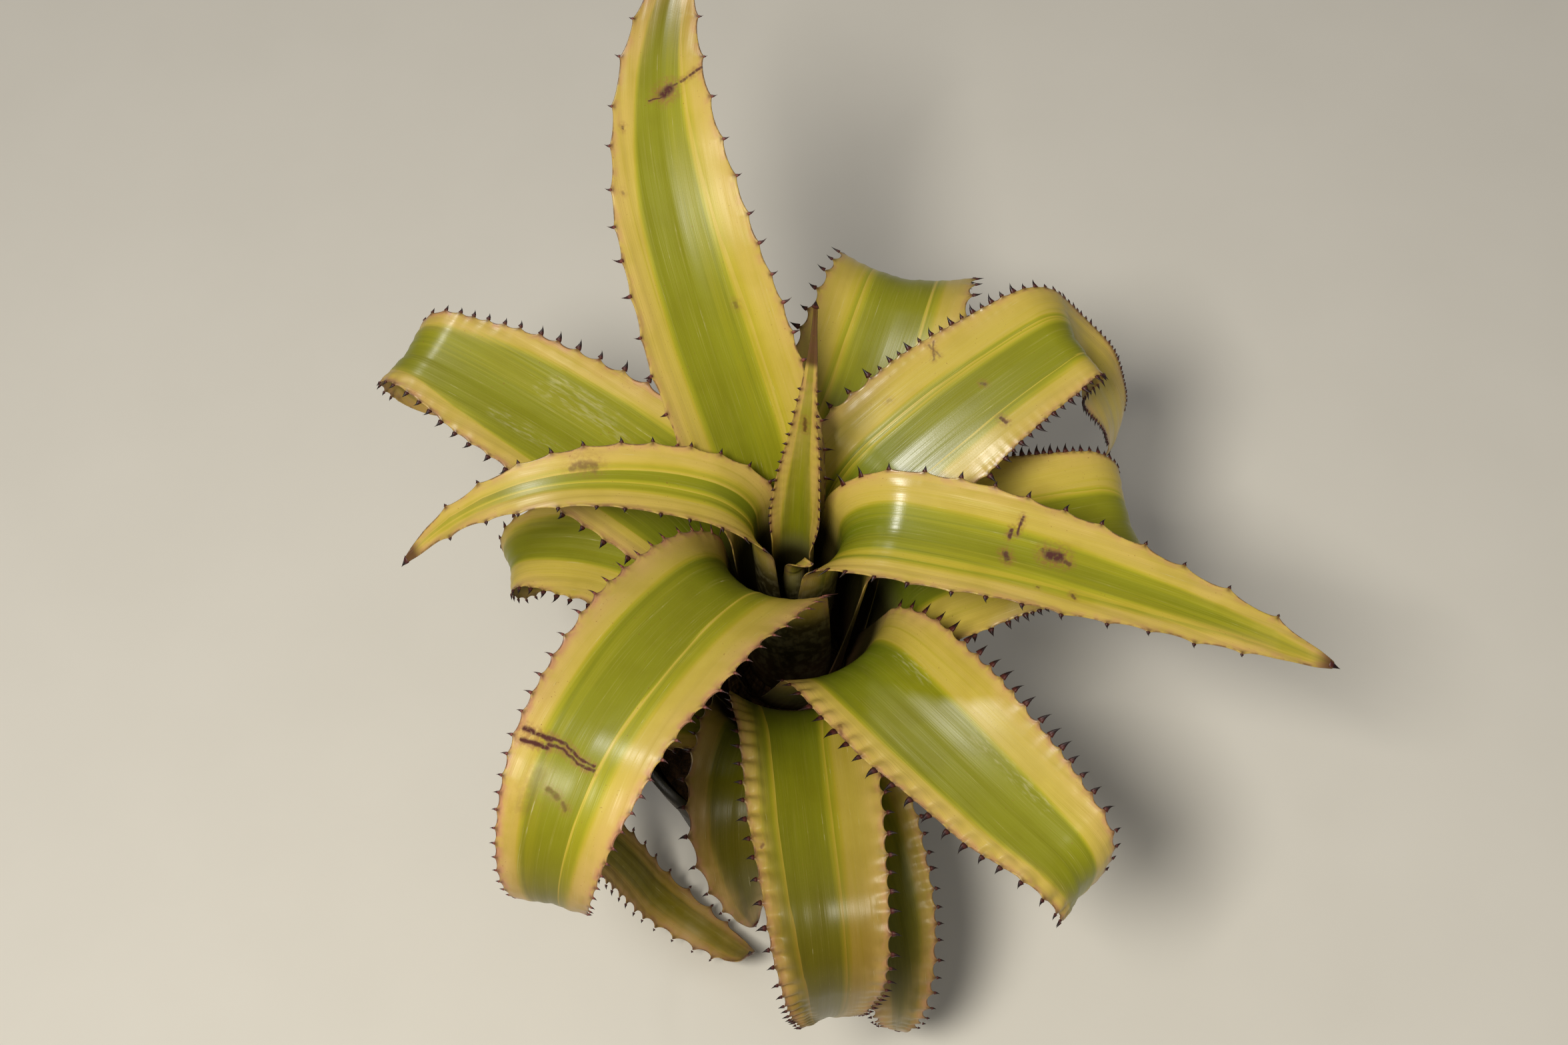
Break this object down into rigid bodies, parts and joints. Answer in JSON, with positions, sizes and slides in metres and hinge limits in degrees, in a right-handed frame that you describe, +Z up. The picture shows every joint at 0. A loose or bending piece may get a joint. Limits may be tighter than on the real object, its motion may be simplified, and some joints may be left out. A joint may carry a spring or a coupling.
{
  "type": "potted hylaeaicum pendulum",
  "caption": "Variegated bromeliad with arching, spiny, cream-edged leaves in an open rosette round a hollow tank, growing in a plain round black pot.",
  "frame": {"origin": "centre of the flat underside of the pot", "axes": "+Z up along the pot's axis; the picture looks at the plant from the -Y side and from above, with +X to its right"},
  "size_m": [0.2252, 0.2156, 0.2255],
  "materials": {
    "leaf": "waxy green leaf with warm yellow margins and dark purple thorns",
    "stock": "dull brown-green stock",
    "mix": "dark bark potting mix",
    "pot": "satin black moulded plastic"
  },
  "bodies": {
    "root": {"pot": "pot", "potting_mix": "mix", "stock": "stock", "leaf_01": "leaf", "leaf_02": "leaf", "leaf_03": "leaf", "leaf_04": "leaf", "leaf_05": "leaf", "leaf_06": "leaf", "leaf_07": "leaf", "leaf_08": "leaf", "leaf_09": "leaf", "leaf_10": "leaf", "leaf_11": "leaf", "leaf_12": "leaf", "leaf_13": "leaf", "leaf_14": "leaf", "leaf_15": "leaf", "leaf_16": "leaf"}
  },
  "joints": []
}
